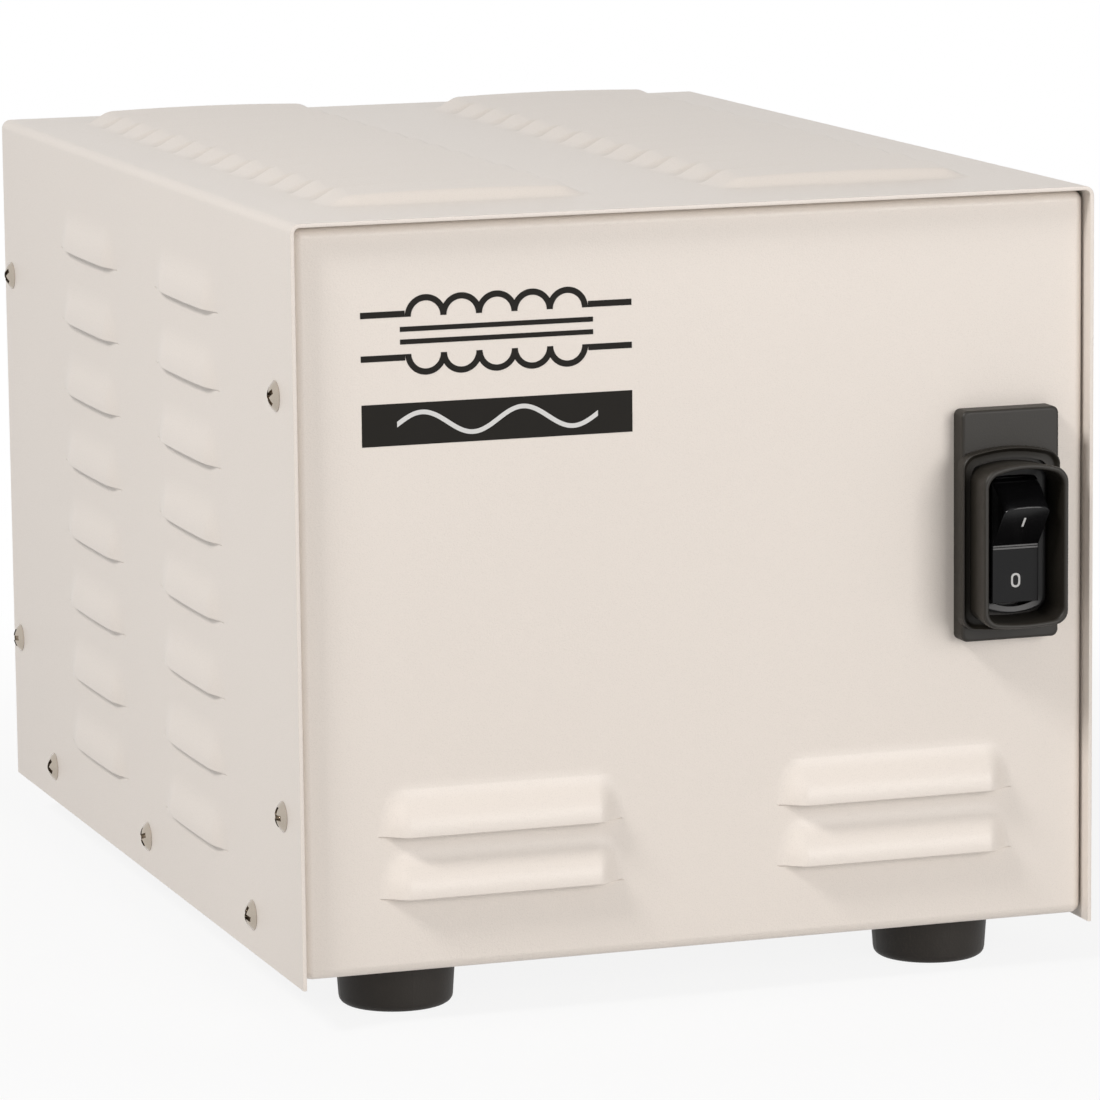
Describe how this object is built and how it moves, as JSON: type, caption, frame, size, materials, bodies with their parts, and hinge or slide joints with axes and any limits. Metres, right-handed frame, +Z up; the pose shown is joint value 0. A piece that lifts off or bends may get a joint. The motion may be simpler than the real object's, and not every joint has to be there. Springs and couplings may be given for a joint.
{
  "type": "isolation transformer",
  "caption": "Boxed isolation transformer: folded steel case with louvres and rubber feet, a guarded rocker breaker in front, and duplex outlets and a cable gland behind.",
  "frame": {"origin": "on the floor under the middle of the whole object's box", "axes": "+X to the right seen from the front, +Y from the front panel to the rear panel, +Z up"},
  "size_m": [0.2076, 0.3134, 0.1975],
  "materials": {
    "case_paint": "warm off-white powder coat with a fine texture",
    "nickel_screw": "nickel plated",
    "zinc_hardware": "zinc plated",
    "pin_steel": "ground",
    "spring_steel": "rolled",
    "foot_rubber": "moulded, matte",
    "guard_rubber": "moulded, satin",
    "rocker_plastic": "polished moulding",
    "breaker_plastic": "moulded",
    "plunger_plastic": "moulded",
    "copper": "bare copper",
    "winding_wire": "enamelled copper wire",
    "brass": "plain",
    "core_steel": "stacked laminations",
    "bobbin_plastic": "moulded",
    "wrap_paper": "varnished paper",
    "outlet_plastic": "moulded",
    "strap_steel": "galvanised",
    "gland_plastic": "moulded",
    "gland_rubber": "moulded",
    "block_plastic": "moulded",
    "lead_black": "insulated wire",
    "lead_white": "insulated wire",
    "lead_green": "insulated wire"
  },
  "bodies": {
    "case": {"cover": "case_paint", "chassis": "case_paint", "cover_screws": "nickel_screw", "outlet_screws": "nickel_screw", "foot_screws": "zinc_hardware", "foot_washers": "zinc_hardware", "foot_nuts": "zinc_hardware", "core_bolts": "zinc_hardware", "core_nuts": "zinc_hardware", "mount_bolts": "zinc_hardware", "mount_nuts": "zinc_hardware", "bracket_front": "zinc_hardware", "bracket_rear": "zinc_hardware", "clamp_front": "zinc_hardware", "clamp_rear": "zinc_hardware", "rocker_pin": "pin_steel", "arm_pin": "pin_steel", "trip_core": "pin_steel", "breaker_clips": "spring_steel", "foot_front_left": "foot_rubber", "foot_front_right": "foot_rubber", "foot_rear_left": "foot_rubber", "foot_rear_right": "foot_rubber", "switch_guard": "guard_rubber", "breaker_bezel": "rocker_plastic", "breaker_case_left": "breaker_plastic", "breaker_case_right": "breaker_plastic", "earth_screen": "copper", "primary_winding": "winding_wire", "secondary_winding": "winding_wire", "trip_coil": "winding_wire", "load_terminal": "brass", "line_terminal": "brass", "breaker_rivets": "brass", "outlet_contacts": "brass", "ground_stud": "brass", "ground_nuts": "brass", "terminal_screws": "brass", "core_e_stack": "core_steel", "core_i_stack": "core_steel", "bobbin": "bobbin_plastic", "winding_wrap": "wrap_paper", "outlet_left": "outlet_plastic", "outlet_middle": "outlet_plastic", "outlet_right": "outlet_plastic", "outlet_strap_left": "strap_steel", "outlet_strap_middle": "strap_steel", "outlet_strap_right": "strap_steel", "gland_body": "gland_plastic", "gland_locknut": "gland_plastic", "gland_cap": "gland_plastic", "gland_seal": "gland_rubber", "terminal_block": "block_plastic", "supply_leads": "lead_black", "output_leads": "lead_white", "ground_lead": "lead_green"},
    "rocker": {"rocker": "rocker_plastic", "plunger": "plunger_plastic", "plunger_spring": "spring_steel"},
    "arm": {"contact_arm": "copper"}
  },
  "joints": [
    {"name": "rocker_pivot", "type": "hinge", "parent": "case", "child": "rocker", "pos_m": [0.0784, -0.14461, 0.10885], "axis": [-1, 0, 0], "range_deg": [0, 37]},
    {"name": "arm_pivot", "type": "hinge", "parent": "case", "child": "arm", "pos_m": [0.0784, -0.12941, 0.10885], "axis": [1, 0, 0], "range_deg": [0, 16]}
  ],
  "couplings": [
    {"joint": "arm_pivot", "follows": "rocker_pivot", "ratio": 0.43243}
  ]
}
